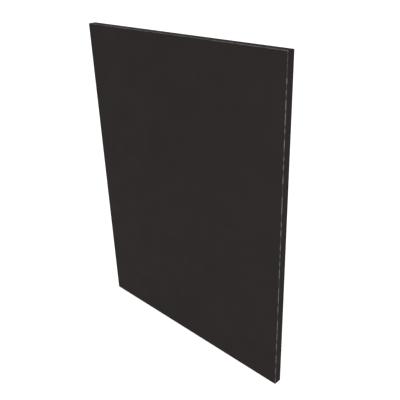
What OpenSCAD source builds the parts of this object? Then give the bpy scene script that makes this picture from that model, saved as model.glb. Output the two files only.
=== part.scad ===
// Kick plate: a laminate-faced board with plastic edge bands on all four sides, and strips of
// foam mounting tape on its back. Millimetres. Seen from the front, +X is to the right and +Z
// is up; the face looks along -Y and the back, along +Y, goes against the door. The origin is
// the centre of the plane where the tape meets the door.

/* [Plate] */
// Finished width, over the edge bands
plate_w = 540; // [300:1:1000]
// Finished height, over the edge bands
plate_h = 700; // [300:1:1200]

/* [Board] */
// Thickness of the particleboard core
core_t = 16; // [12:0.5:25]
// Thickness of the laminate on each side of the core
laminate_t = 1.2; // [0.5:0.1:1.5]

/* [Edge bands] */
// Thickness of each edge band
band_t = 2; // [1.8:0.1:3]
// Radius of the arrises, at the face, at the back and at the plate's four corners
arris_r = 1.5; // [0.5:0.1:1.5]

/* [Mounting tape] */
// Width of each strip
tape_w = 25; // [12:1:40]
// Thickness of the foam
tape_t = 1.1; // [0.6:0.1:3]
// Margin between the plate's edge and the tape round it
tape_inset = 12; // [5:1:40]
// Gap where the end of one strip meets the side of another
tape_gap = 2; // [1:0.5:10]

/* [Hidden] */
$fn = 64;

board_t = core_t + 2 * laminate_t;
back_y = -tape_t;
face_y = back_y - board_t;
// The core and the laminates fill the plate inside its bands
sheet_w = plate_w - 2 * band_t;
sheet_h = plate_h - 2 * band_t;
// The upright strips at the sides run the full height inside the margin, and the others fit
// between them
side_tape_x = plate_w / 2 - tape_inset - tape_w / 2;
side_tape_h = plate_h - 2 * tape_inset;
end_tape_z = plate_h / 2 - tape_inset - tape_w / 2;
end_tape_w = 2 * side_tape_x - tape_w - 2 * tape_gap;
centre_tape_h = 2 * end_tape_z - tape_w - 2 * tape_gap;

face_colour = "#2f2b2a";
band_colour = "#2d2a29";
backer_colour = "#4a382b";
core_colour = "#b8966b";
tape_colour = "#6f7275";

// One flat layer of the board, t thick, with its front at y
module layer(y, t) {
    translate([-sheet_w / 2, y, -sheet_h / 2])
        cube([sheet_w, t, sheet_h]);
}

module core_board() {
    color(core_colour) layer(face_y + laminate_t, core_t);
}

module front_laminate() {
    color(face_colour) layer(face_y, laminate_t);
}

module back_laminate() {
    color(backer_colour) layer(back_y - laminate_t, laminate_t);
}

// A rectangle about the origin with round corners
module round_rectangle(w, h, r) {
    square([w - 2 * r, h], center = true);
    square([w, h - 2 * r], center = true);
    for (x = [-1, 1], y = [-1, 1])
        translate([x * (w / 2 - r), y * (h / 2 - r)])
            circle(r);
}

// The section of a band: flat where it is glued to the board at x = 0, and round at the two
// arrises that stand out from it
module band_section() {
    intersection() {
        translate([0, face_y])
            square([band_t, board_t]);
        translate([band_t - board_t / 2, face_y + board_t / 2])
            round_rectangle(board_t, board_t, arris_r);
    }
}

// The finished plate's outline from the side, along X, which rounds the ends of an upright band
module side_outline() {
    rotate([90, 0, 90])
        linear_extrude(plate_w, center = true)
            translate([face_y + board_t / 2, 0])
                round_rectangle(board_t, plate_h, arris_r);
}

// The finished plate's outline from the front, along Y, which rounds the plate's corners
module front_outline() {
    rotate([90, 0, 0])
        linear_extrude(4 * board_t, center = true)
            round_rectangle(plate_w, plate_h, arris_r);
}

// An upright band. It is glued on last, so it runs the full height and covers the ends of the
// level ones
module upright_band() {
    intersection() {
        translate([sheet_w / 2, 0, -plate_h / 2])
            linear_extrude(plate_h)
                band_section();
        side_outline();
        front_outline();
    }
}

// A level band, between the two upright ones
module level_band() {
    translate([0, 0, sheet_h / 2])
        rotate([0, -90, 0])
            linear_extrude(sheet_w, center = true)
                band_section();
}

module right_edge_band() {
    color(band_colour) upright_band();
}

module left_edge_band() {
    color(band_colour) mirror([1, 0, 0]) upright_band();
}

module top_edge_band() {
    color(band_colour) level_band();
}

module bottom_edge_band() {
    color(band_colour) mirror([0, 0, 1]) level_band();
}

// A strip of foam tape between the back of the board and the door, w wide and h high, with its
// middle at x and z
module tape_strip(x, z, w, h) {
    color(tape_colour)
        translate([x - w / 2, back_y, z - h / 2])
            cube([w, tape_t, h]);
}

module left_tape() {
    tape_strip(-side_tape_x, 0, tape_w, side_tape_h);
}

module right_tape() {
    tape_strip(side_tape_x, 0, tape_w, side_tape_h);
}

module top_tape() {
    tape_strip(0, end_tape_z, end_tape_w, tape_w);
}

module bottom_tape() {
    tape_strip(0, -end_tape_z, end_tape_w, tape_w);
}

module centre_tape() {
    tape_strip(0, 0, tape_w, centre_tape_h);
}

core_board();
front_laminate();
back_laminate();
left_edge_band();
right_edge_band();
top_edge_band();
bottom_edge_band();
left_tape();
right_tape();
top_tape();
bottom_tape();
centre_tape();
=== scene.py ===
"""Kick plate: a laminate-faced board with plastic edge bands and strips of foam mounting tape.

Every piece is built round the CAD node that it stands for, in metres, in the CAD model's frame:
+X is to the right seen from the front, +Y goes through the plate towards the door, and +Z is up.
"""

import math

import bmesh
import bpy
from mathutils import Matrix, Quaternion, Vector, noise


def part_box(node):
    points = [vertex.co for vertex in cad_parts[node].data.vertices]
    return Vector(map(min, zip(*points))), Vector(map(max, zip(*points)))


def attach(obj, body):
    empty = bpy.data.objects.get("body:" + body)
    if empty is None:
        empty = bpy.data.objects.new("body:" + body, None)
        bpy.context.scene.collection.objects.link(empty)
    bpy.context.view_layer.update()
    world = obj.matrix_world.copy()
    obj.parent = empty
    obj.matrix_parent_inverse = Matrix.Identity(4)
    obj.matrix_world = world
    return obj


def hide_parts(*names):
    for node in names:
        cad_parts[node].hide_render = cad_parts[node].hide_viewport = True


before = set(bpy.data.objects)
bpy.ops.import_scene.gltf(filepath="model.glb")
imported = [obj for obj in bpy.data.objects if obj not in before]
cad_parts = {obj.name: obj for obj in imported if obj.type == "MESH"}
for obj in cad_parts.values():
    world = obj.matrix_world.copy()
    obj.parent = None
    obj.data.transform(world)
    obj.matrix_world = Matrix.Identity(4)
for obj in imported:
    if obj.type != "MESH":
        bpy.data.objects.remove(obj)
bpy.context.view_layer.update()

MM = 0.001
X, Y, Z = 0, 1, 2

# The finished board, without the tape: its box, and the radius of its arrises in the CAD model
BOARD_LOW = Vector(map(min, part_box("left_edge_band")[0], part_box("bottom_edge_band")[0]))
BOARD_HIGH = Vector(map(max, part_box("right_edge_band")[1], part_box("top_edge_band")[1]))
ARRIS_R = 1.5 * MM
# Flat stretches in a quarter turn of an arris
ARC_STEPS = 10
# The hairline V where two pieces are scraped flush, per side
JOINT_BEVEL = 0.09 * MM
# Vertices closer than this are one
WELD = 0.001 * MM


# ---------------------------------------------------------------- meshes


def add_piece(bm, name, node, material):
    """Turns a bmesh into a smooth-shaded piece that stands for a CAD node."""
    for face in bm.faces:
        face.smooth = True
    mesh = bpy.data.meshes.new(name)
    bm.to_mesh(mesh)
    bm.free()
    mesh.materials.append(material)
    piece = bpy.data.objects.new(name, mesh)
    bpy.context.scene.collection.objects.link(piece)
    # Wide flat faces keep their own direction, and only the narrow round ones blend
    weighted = piece.modifiers.new("flat faces stay flat", "WEIGHTED_NORMAL")
    weighted.keep_sharp = True
    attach(piece, "root")
    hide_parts(node)
    return piece


def loft(rings):
    """A closed bmesh through rings of points, with a flat cap on each end.

    Points that fall together, as they do where a round end closes, become one."""
    bm = bmesh.new()
    rows = [[bm.verts.new(point) for point in ring] for ring in rings]
    count = len(rows[0])
    for one, two in zip(rows, rows[1:]):
        for i in range(count):
            bm.faces.new((one[i], one[(i + 1) % count], two[(i + 1) % count], two[i]))
    bm.faces.new(rows[0])
    bm.faces.new(reversed(rows[-1]))
    bmesh.ops.remove_doubles(bm, verts=bm.verts, dist=WELD)
    bmesh.ops.recalc_face_normals(bm, faces=bm.faces)
    return bm


def sharp_edges(bm, least=math.radians(50)):
    """The edges where two faces meet at a real corner."""
    bm.normal_update()
    return [edge for edge in bm.edges if edge.is_manifold and edge.calc_face_angle() > least]


def ease(bm, offset):
    """Rounds every real corner by a small offset."""
    bmesh.ops.bevel(
        bm, geom=sharp_edges(bm), offset=offset, segments=2, profile=0.5, affect="EDGES"
    )


def arc(centre, radius, start, stop, steps):
    """Points round part of a circle, both ends included, from one angle to another in degrees."""
    for i in range(steps + 1):
        turn = math.radians(start + (stop - start) * i / steps)
        yield centre[0] + radius * math.cos(turn), centre[1] + radius * math.sin(turn)


def store_arris(bm):
    """Stores how far round an arris of the face or the back each vertex is.

    It is 0 on a flat face and 1 halfway round. The short arrises along Y stay 0."""
    # The band material paints its arris highlight by this value
    layer = bm.verts.layers.float.new("arris")
    halfway = 1 - math.sqrt(0.5)
    for vert in bm.verts:
        inner = [
            min(max(vert.co[i], BOARD_LOW[i] + ARRIS_R), BOARD_HIGH[i] - ARRIS_R)
            for i in (X, Y, Z)
        ]
        out = vert.co - Vector(inner)
        if out.length > ARRIS_R / 2:
            # On a flat face all of it points one way, and halfway round as much along Y as across
            largest = max(abs(out.y), math.hypot(out.x, out.z))
            vert[layer] = min((1 - largest / out.length) / halfway, 1)


def band_section(thickness, radius):
    """Half the section of a band, from the glued face round the arris at the front.

    Points are (out from the board's edge, out from the middle of the board's thickness)."""
    middle = (thickness - ARRIS_R, (BOARD_HIGH.y - BOARD_LOW.y) / 2 - ARRIS_R)
    yield 0, middle[1] + radius
    yield from arc(middle, radius, 90, 0, ARC_STEPS)


def band_rings(thickness, length, round_ends):
    """Rings of (out, across, along) points for a band, with ends that are round or cut square."""
    half = length / 2
    # Each stop is how far it is from the band's end, and the arris radius there
    stops = [(0, ARRIS_R)]
    if round_ends:
        turns = [math.radians(90 * i / ARC_STEPS) for i in range(ARC_STEPS + 1)]
        stops = [(ARRIS_R * (1 - math.cos(t)), ARRIS_R * math.sin(t)) for t in turns]
    lower = [(-half + inset, radius) for inset, radius in stops]
    upper = [(half - inset, radius) for inset, radius in reversed(stops)]
    for along, radius in lower + upper:
        front = list(band_section(thickness, radius))
        back = [(out, -across) for out, across in reversed(front)]
        yield [(out, across, along) for out, across in front + back]


def build_band(name, node, material, side, along):
    """An edge band. side is the axis it stands out along, and along the axis it runs along."""
    low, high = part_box(node)
    thickness = high[side] - low[side]
    outward = 1 if low[side] + high[side] > 0 else -1
    glued = low[side] if outward > 0 else high[side]
    middle_y = (BOARD_LOW.y + BOARD_HIGH.y) / 2
    rings = []
    for ring in band_rings(thickness, high[along] - low[along], round_ends=along == Z):
        points = []
        for out, across, run in ring:
            point = Vector((0, middle_y + across, 0))
            point[side] = glued + outward * out
            point[along] = run
            points.append(point)
        rings.append(points)
    bm = loft(rings)
    ease(bm, JOINT_BEVEL)
    store_arris(bm)
    return add_piece(bm, name, node, material)


def build_sheet(name, node, material):
    """A laminate, with the edges of the sheet eased where they meet the bands."""
    low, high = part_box(node)
    bm = bmesh.new()
    bmesh.ops.create_cube(bm, size=1)
    for vert in bm.verts:
        vert.co = [(low[i] + high[i]) / 2 + vert.co[i] * (high[i] - low[i]) for i in (X, Y, Z)]
    ease(bm, JOINT_BEVEL)
    return add_piece(bm, name, node, material)


# ---------------------------------------------------------------- foam tape

# The length between two sections of a strip
STRIP_RING = 6 * MM
# How far a strip's sides stray, and the length over which they do
STRIP_WANDER = 0.35 * MM
STRIP_WAVE = 60 * MM
STRIP_EDGE_R = 0.3 * MM
STRIP_ARC_STEPS = 4


def strip_section(width, thickness):
    """The section of a strip: flat on both faces, and round at the foam's cut sides."""
    middle = (width / 2 - STRIP_EDGE_R, thickness / 2 - STRIP_EDGE_R)
    for sign_w, sign_t, start in ((1, 1, 0), (-1, 1, 90), (-1, -1, 180), (1, -1, 270)):
        centre = (sign_w * middle[0], sign_t * middle[1])
        yield from arc(centre, STRIP_EDGE_R, start, start + 90, STRIP_ARC_STEPS)


def build_strip(name, node, material, seed):
    """A strip of foam tape, laid by hand: its sides wander a little inside the CAD node."""
    low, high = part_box(node)
    size = high - low
    centre = (low + high) / 2
    along = Z if size.z > size.x else X
    across = X if along == Z else Z
    count = round(size[along] / STRIP_RING)
    rings = []
    for i in range(count + 1):
        run = -size[along] / 2 + size[along] * i / count
        wander = noise.noise(Vector((run / STRIP_WAVE, seed, 0))) * STRIP_WANDER / 2
        width = size[across] - STRIP_WANDER - abs(wander)
        ring = []
        for w, t in strip_section(width, size.y):
            point = Vector(centre)
            point[across] += w + wander / 2
            point.y += t
            point[along] += run
            ring.append(point)
        rings.append(ring)
    bm = loft(rings)
    ease(bm, STRIP_EDGE_R / 2)
    return add_piece(bm, name, node, material)


# ---------------------------------------------------------------- materials


class Nodes:
    """A short way to write a material's nodes."""

    def __init__(self, name):
        self.material = bpy.data.materials.new(name)
        self.material.use_nodes = True
        self.tree = self.material.node_tree
        self.tree.nodes.clear()
        self.output = self.add("ShaderNodeOutputMaterial")
        self.shader = self.add("ShaderNodeBsdfPrincipled")
        self.link(self.shader.outputs[0], self.output.inputs["Surface"])
        self.place = self.add("ShaderNodeTexCoord").outputs["Object"]

    def add(self, kind, **settings):
        node = self.tree.nodes.new(kind)
        for key, value in settings.items():
            setattr(node, key, value)
        return node

    def link(self, source, target):
        if isinstance(source, bpy.types.NodeSocket):
            self.tree.links.new(source, target)
        else:
            target.default_value = source

    def stretched(self, scale):
        """The place on the object, with each axis multiplied by its scale."""
        node = self.add("ShaderNodeMapping")
        self.link(self.place, node.inputs["Vector"])
        node.inputs["Scale"].default_value = scale
        return node.outputs["Vector"]

    def noise(self, per_metre, detail=2, roughness=0.5, place=None, distortion=0):
        node = self.add("ShaderNodeTexNoise")
        self.link(place or self.place, node.inputs["Vector"])
        node.inputs["Scale"].default_value = per_metre
        node.inputs["Detail"].default_value = detail
        node.inputs["Roughness"].default_value = roughness
        node.inputs["Distortion"].default_value = distortion
        return node.outputs["Fac"]

    def cells(self, per_metre, feature="F1", output="Distance", place=None):
        node = self.add("ShaderNodeTexVoronoi", feature=feature)
        self.link(place or self.place, node.inputs["Vector"])
        node.inputs["Scale"].default_value = per_metre
        return node.outputs[output]

    def spread(self, value, low, high, to_low=0, to_high=1):
        """Maps low..high to to_low..to_high, smoothly and held at the ends."""
        node = self.add("ShaderNodeMapRange", interpolation_type="SMOOTHSTEP")
        for name, source in zip(
            ("Value", "From Min", "From Max", "To Min", "To Max"), (value, low, high, to_low, to_high)
        ):
            self.link(source, node.inputs[name])
        return node.outputs["Result"]

    def math(self, operation, one, two=0):
        node = self.add("ShaderNodeMath", operation=operation)
        self.link(one, node.inputs[0])
        self.link(two, node.inputs[1])
        return node.outputs[0]

    def mix(self, share, one, two):
        """A colour between one and two."""
        node = self.add("ShaderNodeMix", data_type="RGBA")
        self.link(share, node.inputs["Factor"])
        for socket, colour in zip(node.inputs[6:8], (one, two)):
            self.link(colour, socket)
        return node.outputs[2]

    def bump(self, height, depth, normal=None):
        """Raises the surface by height times depth, in metres."""
        node = self.add("ShaderNodeBump")
        node.inputs["Distance"].default_value = depth
        self.link(height, node.inputs["Height"])
        if normal is not None:
            self.link(normal, node.inputs["Normal"])
        return node.outputs["Normal"]

    def attribute(self, name):
        return self.add("ShaderNodeAttribute", attribute_name=name).outputs["Fac"]

    def finish(self, colour, roughness, normal, specular):
        sockets = self.shader.inputs
        self.link(colour, sockets["Base Color"])
        self.link(roughness, sockets["Roughness"])
        self.link(normal, sockets["Normal"])
        sockets["Specular IOR Level"].default_value = specular
        return self.material


def srgb(red, green, blue):
    """A linear RGBA colour from the 0 to 255 values of a screen colour."""

    def linear(value):
        value /= 255
        return value / 12.92 if value <= 0.04045 else ((value + 0.055) / 1.055) ** 2.4

    return linear(red), linear(green), linear(blue), 1


def laminate_material():
    """Matt brown-black laminate with the fine pearl grain of its press plate."""
    m = Nodes("laminate")
    pearl = m.cells(950, feature="SMOOTH_F1")
    grain = m.noise(2600, detail=2)
    cloud = m.noise(9, detail=3)
    colour = m.mix(m.spread(cloud, 0.3, 0.7), srgb(29.9, 25.6, 24.4), srgb(30.6, 26.3, 25.1))
    # Painted highlight: the crests of the grain are made lighter than the hollows between them
    colour = m.mix(m.spread(pearl, 0.12, 0.42, 0.55, 0), colour, srgb(38, 33.7, 32.2))
    colour = m.mix(m.spread(grain, 0.45, 0.75, 0, 0.3), colour, srgb(44, 39, 38))
    roughness = m.spread(m.noise(25, detail=4), 0.3, 0.7, 0.74, 0.82)
    normal = m.bump(pearl, -0.12 * MM)
    normal = m.bump(grain, 0.02 * MM, normal)
    return m.finish(colour, roughness, normal, specular=0.08)


def band_material(name, along, painted_arris_highlight):
    """Matt plastic edge band: drawn along its length, with a painted highlight along its arrises that
    also stands for the whitening the cutter leaves.

    The last argument is how light that painted highlight is, at the least and at the most."""
    m = Nodes(name)
    scale = [1, 1, 1]
    scale[along] = 0.06
    drawn = m.noise(2200, detail=3, place=m.stretched(scale))
    pearl = m.cells(1100, feature="SMOOTH_F1")
    cloud = m.noise(30, detail=3)
    colour = m.mix(m.spread(cloud, 0.3, 0.7), srgb(26.5, 22.8, 21.6), srgb(28.3, 24.5, 23.3))
    colour = m.mix(m.spread(drawn, 0.4, 0.7, 0, 0.35), colour, srgb(37.2, 33, 31.4))
    # Painted highlight along the arris, with some whitening from the cutter, lighter in some
    # stretches than in others
    highlight_patches = m.spread(m.noise(90, detail=0), 0.38, 0.62, *painted_arris_highlight)
    arris = m.math("MULTIPLY", m.spread(m.attribute("arris"), 0.02, 0.6), highlight_patches)
    colour = m.mix(arris, colour, srgb(114, 110, 108))
    roughness = m.spread(m.noise(120, detail=3), 0.3, 0.7, 0.7, 0.8)
    normal = m.bump(pearl, -0.05 * MM)
    normal = m.bump(drawn, 0.015 * MM, normal)
    return m.finish(colour, roughness, normal, specular=0.05)


def backer_material():
    """The balancing laminate: plain brown kraft paper and resin, sanded for the glue."""
    m = Nodes("backer")
    sanding = m.noise(3000, detail=2, place=m.stretched((1, 1, 0.012)))
    score = m.noise(1500, detail=1, place=m.stretched((1, 1, 0.006)))
    cloud = m.noise(11, detail=5, roughness=0.62)
    pulp = m.noise(700, detail=3, distortion=1.2)
    fleck = m.cells(260, output="Distance")
    colour = m.mix(m.spread(cloud, 0.3, 0.7), srgb(62, 48, 40), srgb(70, 55, 46))
    colour = m.mix(m.spread(pulp, 0.42, 0.7, 0, 0.4), colour, srgb(84, 68, 57))
    colour = m.mix(m.spread(fleck, 0.04, 0.12, 0.35, 0), colour, srgb(46, 35, 29))
    colour = m.mix(m.spread(sanding, 0.45, 0.75, 0, 0.35), colour, srgb(92, 76, 65))
    colour = m.mix(m.spread(score, 0.7, 0.8, 0, 0.22), colour, srgb(112, 96, 84))
    roughness = m.spread(sanding, 0.3, 0.7, 0.66, 0.8)
    normal = m.bump(sanding, 0.03 * MM)
    normal = m.bump(score, 0.03 * MM, normal)
    return m.finish(colour, roughness, normal, specular=0.25)


def tape_material():
    """Grey acrylic foam: tacky and slightly rippled on its faces, and open-celled where it is cut."""
    m = Nodes("foam tape")
    facing = m.add("ShaderNodeSeparateXYZ")
    m.link(m.add("ShaderNodeNewGeometry").outputs["Normal"], facing.inputs[0])
    face = m.spread(m.math("ABSOLUTE", facing.outputs["Y"]), 0.5, 0.9)
    cells = m.cells(3200)
    ripple = m.noise(70, detail=3, roughness=0.55)
    cloud = m.noise(18, detail=3)
    wet_out = m.spread(m.noise(110, detail=5, roughness=0.6), 0.42, 0.72, 0, 0.4)
    colour = m.mix(m.spread(cloud, 0.3, 0.7), srgb(98, 101, 104), srgb(108, 111, 114))
    colour = m.mix(wet_out, colour, srgb(122, 125, 128))
    cut = m.mix(m.spread(cells, 0.1, 0.4, 0.6, 0), srgb(92, 94, 97), srgb(54, 56, 59))
    colour = m.mix(face, cut, colour)
    roughness = m.spread(m.noise(45, detail=4), 0.35, 0.65, 0.24, 0.46)
    roughness = m.math("MAXIMUM", roughness, m.spread(face, 0, 1, 0.85, 0))
    normal = m.bump(ripple, 0.25 * MM)
    normal = m.bump(cells, 0.03 * MM, normal)
    return m.finish(colour, roughness, normal, specular=0.5)


def particleboard_material():
    """Pressed wood chips, which only show if the plate is taken apart."""
    m = Nodes("particleboard")
    flat = m.stretched((1, 2.5, 1))
    chips = m.cells(210, output="Color", place=flat)
    edges = m.cells(210, feature="DISTANCE_TO_EDGE", place=flat)
    dust = m.noise(900, detail=4)
    tone = m.add("ShaderNodeSeparateColor")
    m.link(chips, tone.inputs[0])
    colour = m.mix(tone.outputs[0], srgb(164, 128, 86), srgb(206, 176, 130))
    colour = m.mix(m.spread(tone.outputs[1], 0.82, 0.9, 0, 0.7), colour, srgb(110, 78, 50))
    colour = m.mix(m.spread(edges, 0, 0.08, 0.55, 0), colour, srgb(92, 66, 42))
    roughness = m.spread(dust, 0.3, 0.7, 0.75, 0.9)
    normal = m.bump(edges, 0.2 * MM)
    normal = m.bump(dust, 0.05 * MM, normal)
    return m.finish(colour, roughness, normal, specular=0.3)


# ---------------------------------------------------------------- the plate

# Both band materials paint a highlight along their arrises; the pair sets how light it is at the
# least and at the most
upright = band_material("upright band", Z, painted_arris_highlight=(0.18, 0.71))
level = band_material("level band", X, painted_arris_highlight=(0.38, 0.66))
tape = tape_material()

build_sheet("face_sheet", "front_laminate", laminate_material())
build_sheet("backer_sheet", "back_laminate", backer_material())
build_band("left_banding", "left_edge_band", upright, X, Z)
build_band("right_banding", "right_edge_band", upright, X, Z)
build_band("top_banding", "top_edge_band", level, Z, X)
build_band("bottom_banding", "bottom_edge_band", level, Z, X)
for seed, place in enumerate(("left", "right", "top", "bottom", "centre")):
    build_strip(place + "_foam_strip", place + "_tape", tape, seed)

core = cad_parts["core_board"]
core.data.materials.clear()
core.data.materials.append(particleboard_material())


# ---------------------------------------------------------------- studio

# The floor reaches this far from the plate, in metres
FLOOR_HALF = 30
# What the floor gives out, and the share of the studio's light that it sends back
FLOOR_GLOW = 0.68
FLOOR_ALBEDO = 0.5
# A little over 1, so that the background comes out pure white to the corners of the picture
WORLD_STRENGTH = 1.06


def build_floor():
    """A white table that glows from below, so that it stays white and takes only a faint shadow."""
    m = Nodes("light table")
    m.shader.inputs["Base Color"].default_value = (FLOOR_ALBEDO,) * 3 + (1,)
    m.shader.inputs["Roughness"].default_value = 1
    m.shader.inputs["Specular IOR Level"].default_value = 0
    m.shader.inputs["Emission Color"].default_value = (1, 1, 1, 1)
    m.shader.inputs["Emission Strength"].default_value = FLOOR_GLOW
    bm = bmesh.new()
    corners = [(-1, -1), (1, -1), (1, 1), (-1, 1)]
    bm.faces.new([bm.verts.new((x * FLOOR_HALF, y * FLOOR_HALF, BOARD_LOW.z)) for x, y in corners])
    mesh = bpy.data.meshes.new("floor")
    bm.to_mesh(mesh)
    bm.free()
    mesh.materials.append(m.material)
    floor = bpy.data.objects.new("floor", mesh)
    bpy.context.scene.collection.objects.link(floor)


def from_front(azimuth, elevation):
    """The direction from the plate to something at that azimuth, from the front, and elevation."""
    a, e = math.radians(azimuth), math.radians(elevation)
    return Vector((math.sin(a) * math.cos(e), -math.cos(a) * math.cos(e), math.sin(e)))


def add_softbox(name, azimuth, elevation, distance, size, power):
    """A square area light that faces the plate's middle."""
    light = bpy.data.lights.new(name, "AREA")
    light.shape = "SQUARE"
    light.size = size
    light.energy = power
    lamp = bpy.data.objects.new(name, light)
    back = from_front(azimuth, elevation)
    lamp.location = back * distance
    lamp.rotation_mode = "QUATERNION"
    lamp.rotation_quaternion = (-back).to_track_quat("-Z", "Y")
    bpy.context.scene.collection.objects.link(lamp)


def build_world():
    world = bpy.data.worlds.new("white studio")
    world.use_nodes = True
    background = world.node_tree.nodes["Background"]
    background.inputs["Color"].default_value = (1, 1, 1, 1)
    background.inputs["Strength"].default_value = WORLD_STRENGTH
    bpy.context.scene.world = world


# The camera looks at a point on the face a little right of its middle and above it, from the
# right and above, and leans slightly to its own right
CAMERA_AIM = Vector((0.0611, BOARD_LOW.y, 0.0213))
CAMERA_AZIMUTH = 45.38
CAMERA_ELEVATION = 25.89
CAMERA_DISTANCE = 1.1403
CAMERA_LEAN = 1.96
CAMERA_LENS = 49.29
FILM_WIDTH = 36


def build_camera():
    data = bpy.data.cameras.new("camera")
    data.lens = CAMERA_LENS
    data.sensor_width = FILM_WIDTH
    camera = bpy.data.objects.new("camera", data)
    back = from_front(CAMERA_AZIMUTH, CAMERA_ELEVATION)
    lean = Quaternion((0, 0, 1), math.radians(-CAMERA_LEAN))
    camera.location = CAMERA_AIM + back * CAMERA_DISTANCE
    camera.rotation_mode = "QUATERNION"
    camera.rotation_quaternion = (-back).to_track_quat("-Z", "Y") @ lean
    bpy.context.scene.collection.objects.link(camera)
    bpy.context.scene.camera = camera


build_floor()
build_world()
add_softbox("key", azimuth=40, elevation=35, distance=2.6, size=1.6, power=9)
# Close to the right side, to even out the face: the camera sees its left side at a lower angle,
# where it shines more
add_softbox("fill", azimuth=62, elevation=15, distance=0.9, size=0.4, power=2.5)
build_camera()
bpy.context.scene.view_settings.view_transform = "Standard"
